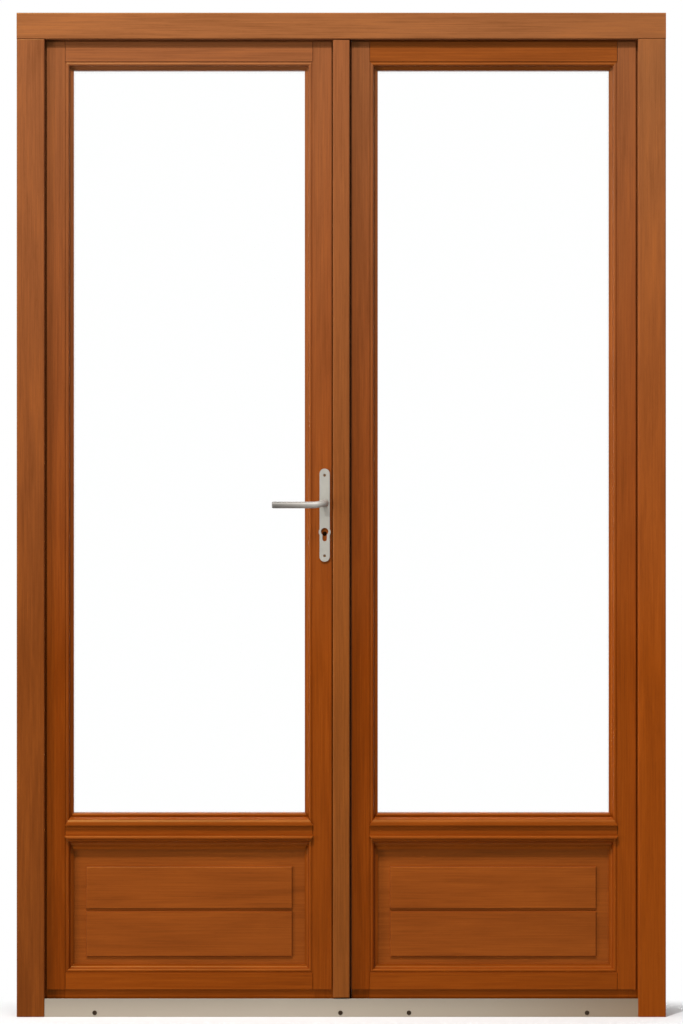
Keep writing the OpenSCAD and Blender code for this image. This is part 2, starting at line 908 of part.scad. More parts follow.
// The raised panel: a board in the grooves of its frame, with a raised field on both faces
module panel() {
  edge_x = [-sight_out - pane_lap, -sight_in + pane_lap];
  field_x = [-sight_out + field_side, -sight_in - field_side];
  field_z = [panel_z + field_low, panel_top - field_high];
  rise = panel_back + field_rise;
  groove_z = (field_z[0] + field_z[1]) / 2 + groove_w / 2;
  difference() {
    union() {
      block(edge_x, [-panel_back, panel_back], [panel_z - pane_lap, panel_top + pane_lap]);
      intersection() {
        along_x(field_x)
          difference() {
            plate([-rise, field_z[0]], [rise, field_z[1]]);
            arris([-rise, field_z[0]], 0, field_r);
            arris([-rise, field_z[1]], -90, field_r);
            arris([rise, field_z[0]], 90, field_r);
            arris([rise, field_z[1]], 180, field_r);
          }
        translate([0, 0, field_z[0]])
          linear_extrude(field_z[1] - field_z[0])
            difference() {
              plate([field_x[0], -rise], [field_x[1], rise]);
              arris([field_x[0], -rise], 0, field_r);
              arris([field_x[1], -rise], 90, field_r);
              arris([field_x[0], rise], -90, field_r);
              arris([field_x[1], rise], 180, field_r);
            }
      }
    }
    for (inside = [0, 1])
      mirror([0, inside, 0])
        along_x([field_x[0] - 1, field_x[1] + 1])
          polygon([
            [-rise - 1, groove_z - groove_w / 2 - 1.5], [-rise + groove_d, groove_z - groove_w / 2 + 1.5],
            [-rise + groove_d, groove_z + groove_w / 2 - 0.5], [-rise - 1, groove_z + groove_w / 2]
          ]);
  }
}

// A pane of the left leaf's double glazing, between two depths
module pane(y) {
  block([-sight_out - pane_lap, -sight_in + pane_lap], y, [glass_z - pane_lap, glass_top + pane_lap]);
}

module outer_pane() {
  pane([y_glass, y_glass + pane_t]);
}

module inner_pane() {
  pane([y_pane_in - pane_t, y_pane_in]);
}

module spacer() {
  x = [-sight_out - pane_lap + 2, -sight_in + pane_lap - 2];
  z = [glass_z - pane_lap + 2, glass_top + pane_lap - 2];
  y = [y_glass + pane_t, y_pane_in - pane_t];
  difference() {
    block(x, y, z);
    block([x[0] + spacer_w, x[1] - spacer_w], [y[0] - 1, y[1] + 1], [z[0] + spacer_w, z[1] - spacer_w]);
  }
}

// The glazing beads that hold the panes from inside, mitred at their corners
bead_lines = [-line_out, -line_in, glass_line, glass_top + moulding_w];
bead_sights = [-sight_out - bead_set, -sight_in + bead_set, glass_z - bead_set, glass_top + bead_set];

module side_beads() {
  for (side = [0, 1])
    intersection() {
      translate([bead_lines[side], y_back, 0])
        mirror([side, 0, 0])
          linear_extrude(z_top)
            glazing_outline();
      through_y([0, leaf_t])
        polygon([
          [bead_lines[side], bead_lines[2]], [bead_sights[side], bead_sights[2]],
          [bead_sights[side], bead_sights[3]], [bead_lines[side], bead_lines[3]]
        ]);
    }
}

module end_beads() {
  for (end = [2, 3])
    intersection() {
      along_x([-line_out, -line_in])
        translate([y_back, bead_lines[end]])
          mirror([0, end - 2])
            mirror([1, -1])
              glazing_outline();
      through_y([0, leaf_t])
        polygon([
          [-line_out, bead_lines[end]], [-line_in, bead_lines[end]],
          [bead_sights[1], bead_sights[end]], [bead_sights[0], bead_sights[end]]
        ]);
    }
}

module glazing_outline() {
  difference() {
    plate([0, y_pane_in - y_back], [moulding_w - bead_set, 0]);
    arris([moulding_w - bead_set, 0], 180, glazing_r);
  }
}

module left_hinge_stile() {
  color(wood)
    hinge_stile();
}

module left_meeting_stile() {
  color(wood)
    difference() {
      meeting_stile(meet_l);
      block([-meet_l - astragal_line, -meet_l], [y_face - 1, y_face + shadow_d], [z_foot - 1, z_top]);
      block([case_x - slide_gap, meet_l + 1], [-case_t / 2 - slide_gap, case_t / 2 + slide_gap],
        [case_z[0] - slide_gap, case_z[1] + slide_gap]);
      block([meet_l - face_t, meet_l + 1], [-face_w / 2 - fit, face_w / 2 + fit],
        [face_z[0] - fit, face_z[1] + fit]);
      bar_y(spindle_x, [y_face - 1, y_back + 1], handle_z, neck_r + 1);
      bar_y(spindle_x, [y_face - 1, 0], key_z - key_low, key_bore / 2);
      for (z = screw_z)
        bar_y(spindle_x, [y_face - 1, y_back + 1], z, screw_d / 2);
      for (z = [face_z[0] + 10, face_z[1] - 10])
        bar_x([meet_l - 22, meet_l], 0, z, 2 + fit);
      block([meet_l - seal_d, meet_l + 1], [y_lip + 1, y_lip + 1 + seal_w], [z_foot - 1, z_lip + 1]);
    }
}

module left_top_rail() {
  color(wood)
    top_rail();
}

module left_middle_rail() {
  color(wood)
    middle_rail();
}

module left_bottom_rail() {
  color(wood)
    bottom_rail();
}

module left_panel() {
  color(wood_light)
    panel();
}

module left_outer_pane() {
  color(glass)
    outer_pane();
}

module left_inner_pane() {
  color(glass)
    inner_pane();
}

module left_spacer() {
  color(alu)
    spacer();
}

module left_side_beads() {
  color(wood_light)
    side_beads();
}

module left_end_beads() {
  color(wood_light)
    end_beads();
}

module right_hinge_stile() {
  color(wood)
    other_hand()
      hinge_stile();
}

module right_meeting_stile() {
  bolt_x = meet_l + bolt_throw + 2;
  key_x = meet_l + dead_throw + 2;
  color(wood)
    difference() {
      other_hand()
        meeting_stile(-meet_r);
      block([meet_r - 1, meet_r + seal_d], [pile_y - seal_w / 2, pile_y + seal_w / 2], pile_z);
      block([meet_r - 1, meet_r + strike_t], [-face_w / 2 - fit, face_w / 2 + fit], strike_z(fit));
      block([meet_r - 1, bolt_x], [-bolt_y - 1, bolt_y + 1], [bolt_z - 1, bolt_z + bolt_h + 1]);
      block([meet_r - 1, key_x], [-bolt_y - 1, bolt_y + 1], [key_z - dead_h / 2 - 1, key_z + dead_h / 2 + 1]);
      flush_case_block(top_case, fit);
      flush_case_block(foot_case, fit);
      bar_z(rod_x, 0, [top_case[1] - 1, z_top + 1], rod_r + slide_gap);
      bar_z(rod_x, 0, [z_foot - 1, foot_case[0] + 1], rod_r + slide_gap);
    }
}

module right_top_rail() {
  color(wood)
    other_hand()
      top_rail();
}

module right_middle_rail() {
  color(wood)
    other_hand()
      middle_rail();
}

module right_bottom_rail() {
  color(wood)
    other_hand()
      bottom_rail();
}

module right_panel() {
  color(wood_light)
    other_hand()
      panel();
}

module right_outer_pane() {
  color(glass)
    other_hand()
      outer_pane();
}

module right_inner_pane() {
  color(glass)
    other_hand()
      inner_pane();
}

module right_spacer() {
  color(alu)
    other_hand()
      spacer();
}

module right_side_beads() {
  color(wood_light)
    other_hand()
      side_beads();
}

module right_end_beads() {
  color(wood_light)
    other_hand()
      end_beads();
}

module astragal() {
  color(wood_light)
    translate([0, 0, sill_top + astragal_gap])
      linear_extrude(z_head - sill_top - 2 * astragal_gap)
        difference() {
          plate([-meet_l, y_front], [meet_l, y_face]);
          arris([-meet_l, y_front], 0, arris_r);
          arris([meet_l, y_front], 90, arris_r);
        }
}

// A brush seal in the left leaf's edge, across the gap between the leaves
module meeting_seal() {
  color(pile)
    translate([meet_l, y_lip + 1 + seal_w / 2, z_foot])
      linear_extrude(z_lip - z_foot)
        pile_outline(meeting_gap - fit);
}

// A pile strip's outline: a base in its groove and a narrowing pile that stands out of it
module pile_outline(reach) {
  polygon([
    [-seal_d, -seal_w / 2 + 0.1], [0, -seal_w / 2 + 0.1], [reach, -0.8], [reach, 0.8],
    [0, seal_w / 2 - 0.1], [-seal_d, seal_w / 2 - 0.1]
  ]);
}

// A shorter one in the right leaf's edge, just behind its face, clear of the left leaf's swing
module right_meeting_seal() {
  color(pile)
    translate([meet_r, pile_y, pile_z[0]])
      linear_extrude(pile_z[1] - pile_z[0])
        mirror([1, 0])
          pile_outline(meeting_gap - pile_clear);
}

// Lock: the lever turns a hub whose arm pushes the upper bolt; the key throws the lower one

module lock_case() {
  y = case_t / 2;
  color(metal)
    difference() {
      block([case_x, meet_l - face_t], [-y, y - case_wall], case_z);
      block([case_x + case_wall, meet_l], [-y + case_wall, y],
        [case_z[0] + case_wall, case_z[1] - case_wall]);
      bar_y(spindle_x, [-y - 1, 0], handle_z, hub_r + 0.15);
      through_y([-y - 1, 0])
        key_outline();
    }
}

module lock_cover() {
  y = case_t / 2;
  color(metal)
    difference() {
      block([case_x, meet_l - face_t], [y - case_wall, y], case_z);
      bar_y(spindle_x, [0, y + 1], handle_z, hub_r + 0.15);
      through_y([0, y + 1])
        key_outline();
    }
}

// The key hole: a round part with a slot below it
module key_outline() {
  translate([spindle_x, key_z]) {
    circle(key_d / 2);
    translate([-key_slot / 2, key_d / 2 - key_h + key_slot / 2])
      square([key_slot, key_h - key_d / 2 - key_slot / 2]);
    translate([0, key_d / 2 - key_h + key_slot / 2])
      circle(key_slot / 2);
  }
}

module lock_faceplate() {
  color(metal)
    difference() {
      block([meet_l - face_t, meet_l], [-face_w / 2, face_w / 2], face_z);
      block([meet_l - face_t - 1, meet_l + 1], [-bolt_y - slide_gap, bolt_y + slide_gap],
        [bolt_z - slide_gap, bolt_z + bolt_h + slide_gap]);
      block([meet_l - face_t - 1, meet_l + 1], [-bolt_y - slide_gap, bolt_y + slide_gap],
        [key_z - dead_h / 2 - slide_gap, key_z + dead_h / 2 + slide_gap]);
      for (z = [face_z[0] + 10, face_z[1] - 10])
        translate([meet_l - face_t, 0, z])
          rotate([0, 90, 0])
            cylinder(h = face_t, r1 = 2 + fit, r2 = 4 + fit);
    }
}

module faceplate_screws() {
  color(dark_metal)
    for (z = [face_z[0] + 10, face_z[1] - 10]) {
      bar_x([meet_l - 21, meet_l - face_t], 0, z, 2);
      translate([meet_l - face_t, 0, z])
        rotate([0, 90, 0])
          cylinder(h = face_t - 0.1, r1 = 2, r2 = 3.9);
    }
}

module handle_plate() {
  y = [y_face - plate_t, y_face];
  difference() {
    through_y(y)
      difference() {
        union() {
          translate([spindle_x - plate_w / 2, plate_z + plate_w / 2])
            square([plate_w, plate_h - plate_w]);
          for (z = [plate_z + plate_w / 2, plate_z + plate_h - plate_w / 2])
            translate([spindle_x, z])
              circle(plate_w / 2);
          translate([spindle_x, key_z - 1])
            circle(swell_w / 2);
        }
        key_outline();
        translate([spindle_x, handle_z])
          circle(neck_r + 0.2);
      }
    for (z = screw_z)
      translate([spindle_x, y[1] + 1, z])
        rotate([90, 0, 0]) {
          cylinder(h = plate_t + 2, r = screw_d / 2 - 0.6);
          translate([0, 0, plate_t - 0.4])
            cylinder(h = 1.5, r1 = screw_d / 2 - 0.6, r2 = screw_d / 2 + 0.8);
        }
  }
}

module outer_plate() {
  color(bright_metal)
    handle_plate();
}

module inner_plate() {
  color(bright_metal)
    mirror([0, 1, 0])
      handle_plate();
}

module plate_screws() {
  r = screw_d / 2 - 0.65;
  color(dark_metal)
    for (z = screw_z) {
      bar_y(spindle_x, [y_face - plate_t + 1.4, y_back + plate_t - 1.4], z, r);
      for (side = [0, 1])
        mirror([0, side, 0])
          translate([spindle_x, y_face - plate_t + 1.4, z])
            rotate([90, 0, 0])
              difference() {
                cylinder(h = 1, r1 = r, r2 = screw_d / 2);
                translate([-4, -0.5, 0.5])
                  cube([8, 1, 2]);
              }
    }
}

// The lever: a neck through the plate, a bend, a slight ease back to level, and a round bar
module lever() {
  y_bar = y_face - lever_out;
  bend_x = -lever_bend * cos(lever_tilt);
  bend_z = -lever_bend * sin(lever_tilt);
  ease_x = bend_x - lever_ease * sin(lever_tilt);
  ease_z = bend_z + lever_ease * cos(lever_tilt);
  translate([spindle_x, 0, handle_z])
    difference() {
      union() {
        bar_y(0, [y_bar + lever_bend + 4, y_face - 0.5], 0, neck_r);
        translate([0, y_bar + lever_bend + 4, 0])
          rotate([90, 0, 0])
            cylinder(h = 4, r1 = neck_r, r2 = lever_r);
        rotate([0, -lever_tilt, 0])
          translate([-lever_bend, y_bar + lever_bend, 0])
            rotate(-90)
              rotate_extrude(angle = 90)
                translate([lever_bend, 0])
                  circle(lever_r);
        translate([ease_x, y_bar, ease_z])
          rotate([90, 0, 0])
            rotate(-90)
              rotate_extrude(angle = lever_tilt)
                translate([lever_ease, 0])
                  circle(lever_r);
        bar_x([2 - lever_l, ease_x], y_bar, ease_z - lever_ease, lever_r);
        bar_x([ease_x - 2, ease_x + 2], y_bar, ease_z - lever_ease, lever_r - 2);
        bar_y(0, [y_bar + lever_bend - 2, y_bar + lever_bend + 2], 0, lever_r - 2);
        rotate([0, -lever_tilt, 0])
          bar_x([-lever_bend - 2, 2 - lever_bend], y_bar, 0, lever_r - 2);
        translate([2 - lever_l, y_bar, ease_z - lever_ease])
          rotate([0, -90, 0])
            cylinder(h = 2, r1 = lever_r, r2 = lever_r - 1.6);
      }
      block([-spindle_s / 2 - fit, spindle_s / 2 + fit], [y_bar + lever_bend + 6, 0],
        [-spindle_s / 2 - fit, spindle_s / 2 + fit]);
    }
}

module outer_lever() {
  color(bright_metal)
    lever();
}

module inner_lever() {
  color(bright_metal)
    mirror([0, 1, 0])
      lever();
}

module spindle() {
  reach = lever_out - lever_bend - 6 - y_face;
  color(metal)
    block([spindle_x - spindle_s / 2, spindle_x + spindle_s / 2], [-reach, reach],
      [handle_z - spindle_s / 2, handle_z + spindle_s / 2]);
}

module hub() {
  color(metal)
    translate([spindle_x, 0, handle_z])
      difference() {
        union() {
          bar_y(0, [-case_t / 2, case_t / 2], 0, hub_r);
          rotate([0, -lift / 2, 0])
            through_y([-4, 4]) {
              polygon([[-4.5, 0], [-2, arm_r - 2], [2, arm_r - 2], [4.5, 0]]);
              translate([0, arm_r])
                circle(arm_end);
            }
        }
        block([-spindle_s / 2 - fit, spindle_s / 2 + fit], [-case_t, case_t],
          [-spindle_s / 2 - fit, spindle_s / 2 + fit]);
      }
}

// The lever's bolt, drawn back, with the notch that the hub's arm works in
module lever_bolt() {
  notch_x = spindle_x - arm_r * sin(lift / 2);
  side = arm_end + slide_gap;
  color(bright_metal)
    difference() {
      block([notch_x - arm_end - 5, meet_l - 0.3], [-bolt_y, bolt_y], [bolt_z, bolt_z + bolt_h]);
      through_y([-bolt_y - 1, bolt_y + 1])
        polygon([
          [notch_x - side - 3, bolt_z - 1], [notch_x - side, bolt_z + 4],
          [notch_x - side, bolt_mid + arm_end + 1], [notch_x + side, bolt_mid + arm_end + 1],
          [notch_x + side, bolt_z + 4], [notch_x + side + 3, bolt_z - 1]
        ]);
    }
}

module key_bolt() {
  color(bright_metal)
    difference() {
      block([spindle_x + key_d / 2 + 10, meet_l - 0.3], [-bolt_y, bolt_y],
        [key_z - dead_h / 2, key_z + dead_h / 2]);
      block([spindle_x + key_d / 2 + 9, spindle_x + key_d / 2 + 14], [-bolt_y - 1, bolt_y + 1],
        [key_z - 5, key_z + 5]);
    }
}

// Right leaf: strike plate and flush bolts

function strike_z(play) = [key_z - dead_h / 2 - 20 - play, bolt_z + bolt_h + 20 + play];

module strike_plate() {
  color(metal)
    difference() {
      block([meet_r, meet_r + strike_t], [-face_w / 2, face_w / 2], strike_z(0));
      block([meet_r - 1, meet_r + strike_t + 1], [-bolt_y - 1, bolt_y + 1],
        [bolt_z - 1, bolt_z + bolt_h + 1]);
      block([meet_r - 1, meet_r + strike_t + 1], [-bolt_y - 1, bolt_y + 1],
        [key_z - dead_h / 2 - 1, key_z + dead_h / 2 + 1]);
    }
}

module flush_case_block(z, play) {
  block([meet_r - play, meet_r + strike_t], [-face_w / 2 - play, face_w / 2 + play],
    [z[0] - play, z[1] + play]);
  block([meet_r + strike_t - 1, meet_r + flush_d + 2 + play], [-rod_r - 4 - play, rod_r + 4 + play],
    [z[0] - play, z[1] + play]);
}

// A flush bolt's case, with the slot for its finger piece; the slider starts at height z
module flush_case(span, z) {
  travel = [z - 1, z + slider_h + rod_throw + 1];
  difference() {
    flush_case_block(span, 0);
    block([meet_r + strike_t, meet_r + flush_d], [-rod_r - 1 - slide_gap, rod_r + 1 + slide_gap], travel);
    block([meet_r - 1, meet_r + strike_t + 1], [-4 - slide_gap, 4 + slide_gap],
      [travel[0] + 4, travel[1] - 4]);
    bar_z(rod_x, 0, [span[0] - 1, span[1] + 1], rod_r + slide_gap);
  }
}

module flush_bolt(z, rod) {
  block([meet_r + strike_t + slide_gap, meet_r + flush_d - slide_gap], [-rod_r - 1, rod_r + 1],
    [z, z + slider_h]);
  block([meet_r + 0.4, meet_r + strike_t + 1], [-4, 4], [z + 9, z + slider_h - 9]);
  bar_z(rod_x, 0, rod, rod_r);
}

top_slider = top_case[0] + flush_h / 3;
foot_slider = foot_case[1] - flush_h / 3 - slider_h - rod_throw;

module top_bolt_case() {
  color(metal)
    flush_case(top_case, top_slider);
}

module top_bolt() {
  color(bright_metal)
    flush_bolt(top_slider, [top_slider + slider_h - 1, z_top - 1]);
}

module bottom_bolt_case() {
  color(metal)
    flush_case(foot_case, foot_slider);
}

module bottom_bolt() {
  color(bright_metal)
    flush_bolt(foot_slider + rod_throw, [z_foot + 1, foot_slider + rod_throw + 1]);
}

head();
left_jamb();
right_jamb();
threshold();
threshold_screws();
frame_seal();
threshold_seal();
head_keep();
threshold_keep();
left_hinge_lowers();
left_hinge_pins();
right_hinge_lowers();
right_hinge_pins();
left_hinge_stile();
left_meeting_stile();
left_top_rail();
left_middle_rail();
left_bottom_rail();
left_panel();
left_outer_pane();
left_spacer();
left_inner_pane();
left_side_beads();
left_end_beads();
left_hinge_uppers();
astragal();
meeting_seal();
lock_case();
lock_cover();
lock_faceplate();
faceplate_screws();
outer_plate();
inner_plate();
plate_screws();
outer_lever();
inner_lever();
spindle();
hub();
lever_bolt();
key_bolt();
right_hinge_stile();
right_meeting_stile();
right_top_rail();
right_middle_rail();
right_bottom_rail();
right_panel();
right_outer_pane();
right_spacer();
right_inner_pane();
right_side_beads();
right_end_beads();
right_hinge_uppers();
right_meeting_seal();
strike_plate();
top_bolt_case();
top_bolt();
bottom_bolt_case();
bottom_bolt();
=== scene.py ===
"""French doors in their frame: finishes, studio light and camera.

Metres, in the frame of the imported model: X to the right seen from outside, Y from outside to inside, Z up.
"""

import json

import bpy
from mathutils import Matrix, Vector


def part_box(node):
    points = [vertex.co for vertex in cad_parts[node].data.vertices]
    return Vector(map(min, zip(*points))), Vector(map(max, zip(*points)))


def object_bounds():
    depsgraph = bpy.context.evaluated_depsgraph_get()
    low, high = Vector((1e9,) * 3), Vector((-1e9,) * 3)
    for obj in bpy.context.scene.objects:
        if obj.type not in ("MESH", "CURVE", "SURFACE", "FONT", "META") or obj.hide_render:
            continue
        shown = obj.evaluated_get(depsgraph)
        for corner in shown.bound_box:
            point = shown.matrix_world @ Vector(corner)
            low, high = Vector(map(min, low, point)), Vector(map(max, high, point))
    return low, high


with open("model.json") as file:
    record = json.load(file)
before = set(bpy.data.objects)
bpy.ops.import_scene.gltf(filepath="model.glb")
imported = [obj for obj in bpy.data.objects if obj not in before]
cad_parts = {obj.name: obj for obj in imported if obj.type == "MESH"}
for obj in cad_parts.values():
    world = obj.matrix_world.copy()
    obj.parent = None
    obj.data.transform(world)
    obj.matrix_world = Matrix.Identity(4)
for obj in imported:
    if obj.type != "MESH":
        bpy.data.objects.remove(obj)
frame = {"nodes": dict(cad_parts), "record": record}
nodes = frame["nodes"]
cad_low, cad_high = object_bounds()

MM = 0.001
WHITE = (1, 1, 1)
BLACK = (0, 0, 0)

# Photograph: its size, and the frame's middle, head and foot in its pixels
IMAGE_W = 683
IMAGE_H = 1024
FRAME_MID_PX = 341.3
FRAME_HEAD_PX = 12.5
FRAME_FOOT_PX = 1016.9

# Camera: its distance from the head's front, and its sensor's width in millimetres
CAMERA_DISTANCE = 7.0
SENSOR = 36.0

# Timber: how far one board's texture lies from the next, and the shares of the height between which it pales;
# the paling is painted light towards the head and painted shade towards the foot
SEED_STEP = (1.37, 0.73, 2.11)
STAIN_AND_LIGHT_FOOT = 0.35
STAIN_AND_LIGHT_HEAD = 0.95

# Strength of the slow figure on wide boards and on the others
WIDE_BOARDS = ("panel", "head", "jamb")
WIDE_FIGURE = 0.45
PLAIN_FIGURE = 0.33

# Relief of the fibres in timber and of the brush marks in metal: strength and depth
FIBRE_RELIEF = (0.10, 0.15 * MM)
BRUSH_RELIEF = (0.08, 0.05 * MM)

# Threshold: height of its front face, and how far up a surface faces where its tread starts and is whole
THRESHOLD_FACE = 39 * MM
TREAD_FACING = (0.80, 0.95)

# Surroundings: their light on the doors
AMBIENT = 0.36

# Floor: size, gap below the doors, tone for the light that it throws back, and tone that is seen
FLOOR_SIZE = 30.0
FLOOR_GAP = 0.5 * MM
FLOOR_BOUNCE = 0.32
FLOOR_PALE = 0.95
# Half width and half depth of the floor that takes the shadow, and the multiple of them where it is all white
FLOOR_NEAR = (0.70, 0.20)
FLOOR_FADE = 1.5


# Node helpers

def new_material(name):
    """A node material with its output and one principled shader."""
    material = bpy.data.materials.new(name)
    material.use_nodes = True
    tree = material.node_tree
    shader = tree.nodes["Principled BSDF"]
    return material, tree, shader


def add(tree, kind, **settings):
    """A new node of one kind, with its attributes set."""
    item = tree.nodes.new("ShaderNode" + kind)
    for key, value in settings.items():
        setattr(item, key, value)
    return item


def feed(tree, source, target):
    tree.links.new(source, target)


def ramp(tree, source, stops):
    """A colour ramp over a factor, from (position, colour) pairs."""
    item = add(tree, "ValToRGB")
    elements = item.color_ramp.elements
    while len(elements) < len(stops):
        elements.new(0.5)
    for element, (position, colour) in zip(elements, stops):
        element.position = position
        element.color = (*colour, 1)
    feed(tree, source, item.inputs[0])
    return item.outputs[0]


def combined(tree, operation, a, b):
    """Two factors, put together by a sum, a product or the like."""
    item = add(tree, "Math", operation=operation)
    feed(tree, a, item.inputs[0])
    feed(tree, b, item.inputs[1])
    return item.outputs[0]


def spread(tree, source, low, high):
    """Maps a 0 to 1 factor to a range."""
    item = add(tree, "MapRange")
    item.inputs["To Min"].default_value = low
    item.inputs["To Max"].default_value = high
    feed(tree, source, item.inputs["Value"])
    return item.outputs[0]


def spread_from(tree, source, low, high, **settings):
    """Maps a range to a 0 to 1 factor."""
    item = add(tree, "MapRange", **settings)
    item.inputs["From Min"].default_value = low
    item.inputs["From Max"].default_value = high
    feed(tree, source, item.inputs["Value"])
    return item.outputs[0]


def along_axis(tree, axis, low, high):
    """A 0 to 1 factor between two places on one axis of the object."""
    place = add(tree, "SeparateXYZ")
    feed(tree, add(tree, "TexCoord").outputs["Object"], place.inputs["Vector"])
    return spread_from(tree, place.outputs[axis], low, high)


def noise(tree, coords, scale, detail, rough=0.55, distortion=0.0):
    item = add(tree, "TexNoise")
    item.inputs["Scale"].default_value = scale
    item.inputs["Detail"].default_value = detail
    item.inputs["Roughness"].default_value = rough
    item.inputs["Distortion"].default_value = distortion
    feed(tree, coords, item.inputs["Vector"])
    return item.outputs["Fac"]


def stretched(tree, axis, stretch, offset=(0, 0, 0)):
    """Object coordinates, drawn out along one axis and moved to a part of the texture of their own."""
    mapping = add(tree, "Mapping")
    scale = [1.0, 1.0, 1.0]
    scale["XYZ".index(axis)] = 1 / stretch
    mapping.inputs["Scale"].default_value = scale
    mapping.inputs["Location"].default_value = offset
    feed(tree, add(tree, "TexCoord").outputs["Object"], mapping.inputs["Vector"])
    return mapping.outputs["Vector"]


def bump(tree, height, relief, shader):
    item = add(tree, "Bump")
    item.inputs["Strength"].default_value, item.inputs["Distance"].default_value = relief
    feed(tree, height, item.inputs["Height"])
    feed(tree, item.outputs["Normal"], shader.inputs["Normal"])


def blended(tree, mode, a, b):
    item = add(tree, "Mix", data_type="RGBA", blend_type=mode)
    item.inputs["Factor"].default_value = 1.0
    feed(tree, a, item.inputs["A"])
    feed(tree, b, item.inputs["B"])
    return item.outputs["Result"]


def show_either(tree, factor, first, second):
    """Shows the second shader where the factor is 1, and the first elsewhere."""
    choose = add(tree, "MixShader")
    feed(tree, factor, choose.inputs["Fac"])
    feed(tree, first.outputs[0], choose.inputs[1])
    feed(tree, second.outputs[0], choose.inputs[2])
    feed(tree, choose.outputs["Shader"], tree.nodes["Material Output"].inputs["Surface"])


def tinted(colour, gain):
    return tuple(channel * gain for channel in colour)


# Materials

def wood(name, grain, foot_stain_and_shade, head_stain_and_light, seed, figure):
    """Satin-stained fine-grained timber, fibres along one axis, a little paler towards the head as painted
    light, and darker low down as painted shade.
    """
    material, tree, shader = new_material(name)
    offset = tinted(SEED_STEP, seed)
    slow = noise(tree, stretched(tree, grain, 9, offset), scale=26, detail=4, rough=0.6, distortion=0.6)
    fibre = noise(tree, stretched(tree, grain, 55, offset), scale=330, detail=5, rough=0.65)
    pores = noise(tree, stretched(tree, grain, 28, offset), scale=1500, detail=2, rough=0.5)
    height = along_axis(tree, "Z", cad_low[2], cad_high[2])
    # Painted light and shade: the colour pales from the foot to the head
    stain_and_light = ramp(tree, height, [(STAIN_AND_LIGHT_FOOT, foot_stain_and_shade), (STAIN_AND_LIGHT_HEAD, head_stain_and_light)])
    streaks = combined(tree, "ADD", spread(tree, slow, -figure, figure), fibre)
    dark_streaks = ramp(tree, streaks, [(0.15, (0.70, 0.65, 0.62)), (0.5, WHITE)])
    light_streaks = ramp(tree, streaks, [(0.5, BLACK), (0.85, (0.085, 0.024, 0.003))])
    dark_pores = ramp(tree, pores, [(0.30, (0.84, 0.81, 0.78)), (0.40, WHITE)])
    stain_and_light = blended(tree, "MULTIPLY", stain_and_light, dark_streaks)
    stain_and_light = blended(tree, "MULTIPLY", stain_and_light, dark_pores)
    stain_and_light = blended(tree, "ADD", stain_and_light, light_streaks)
    feed(tree, stain_and_light, shader.inputs["Base Color"])
    feed(tree, spread(tree, fibre, 0.27, 0.41), shader.inputs["Roughness"])
    shader.inputs["Specular IOR Level"].default_value = 0.25
    shader.inputs["Specular Tint"].default_value = (1.0, 0.70, 0.20, 1)
    bump(tree, combined(tree, "ADD", fibre, pores), FIBRE_RELIEF, shader)
    return material


def satin_metal(name, colour, roughness, grain, metallic=1.0):
    """Metal with fine brush marks along one axis; a dull coat makes it less metallic."""
    material, tree, shader = new_material(name)
    marks = noise(tree, stretched(tree, grain, 40), scale=900, detail=3, rough=0.6)
    cloud = noise(tree, stretched(tree, grain, 2), scale=60, detail=3, rough=0.5)
    clouded = ramp(tree, cloud, [(0.3, tinted(colour, 0.94)), (0.7, tinted(colour, 1.05))])
    feed(tree, clouded, shader.inputs["Base Color"])
    feed(tree, spread(tree, marks, roughness - 0.07, roughness + 0.07), shader.inputs["Roughness"])
    shader.inputs["Metallic"].default_value = metallic
    bump(tree, marks, BRUSH_RELIEF, shader)
    return material


def shade_lever_tips(material):
    """Darkens the levers' metal towards their tips as painted shade, leaving it lighter at the root by the
    plate.
    """
    tree = material.node_tree
    tip, root = (corner[0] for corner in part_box("outer_lever"))
    painted_tip_shade = ramp(tree, along_axis(tree, "X", tip, root), [(0.1, (0.46, 0.46, 0.46)), (0.75, WHITE)])
    colour = tree.nodes["Principled BSDF"].inputs["Base Color"]
    feed(tree, blended(tree, "MULTIPLY", colour.links[0].from_socket, painted_tip_shade), colour)


def anodised_metal(name, colour):
    """Matt anodised metal, darker and browner towards its right end and paler low on its front face as
    painted light and shade, with a smooth bright tread on what faces up.
    """
    material, tree, shader = new_material(name)
    marks = noise(tree, stretched(tree, "X", 40), scale=900, detail=3, rough=0.6)
    # Painted shade: darker and browner towards the right end, a little at the left end too
    painted_shade_across = ramp(tree, along_axis(tree, "X", cad_low[0], cad_high[0]), [
        (0.05, (0.91, 0.90, 0.89)),
        (0.40, WHITE),
        (0.72, (0.85, 0.83, 0.80)),
        (0.95, (0.64, 0.54, 0.45)),
    ])
    # Painted light and shade: paler low on the front face, darker towards its top
    painted_light_and_shade_up = ramp(tree, along_axis(tree, "Z", cad_low[2], THRESHOLD_FACE), [
        (0.0, tinted(colour, 1.10)),
        (0.45, tinted(colour, 1.04)),
        (1.0, tinted(colour, 0.86)),
    ])
    feed(tree, blended(tree, "MULTIPLY", painted_light_and_shade_up, painted_shade_across), shader.inputs["Base Color"])
    facing = add(tree, "SeparateXYZ")
    feed(tree, add(tree, "NewGeometry").outputs["True Normal"], facing.inputs["Vector"])
    tread = spread_from(tree, facing.outputs["Z"], *TREAD_FACING)
    feed(tree, spread(tree, tread, 0.35, 1.0), shader.inputs["Metallic"])
    feed(tree, spread(tree, tread, 0.45, 0.12), shader.inputs["Roughness"])
    bump(tree, marks, BRUSH_RELIEF, shader)
    return material


def speckled(name, dark, light, scale):
    """Matt rubber or pile with a fine fleck."""
    material, tree, shader = new_material(name)
    speck = noise(tree, stretched(tree, "Z", 1), scale, detail=2)
    feed(tree, ramp(tree, speck, [(0.3, dark), (0.7, light)]), shader.inputs["Base Color"])
    shader.inputs["Roughness"].default_value = 0.75
    return material


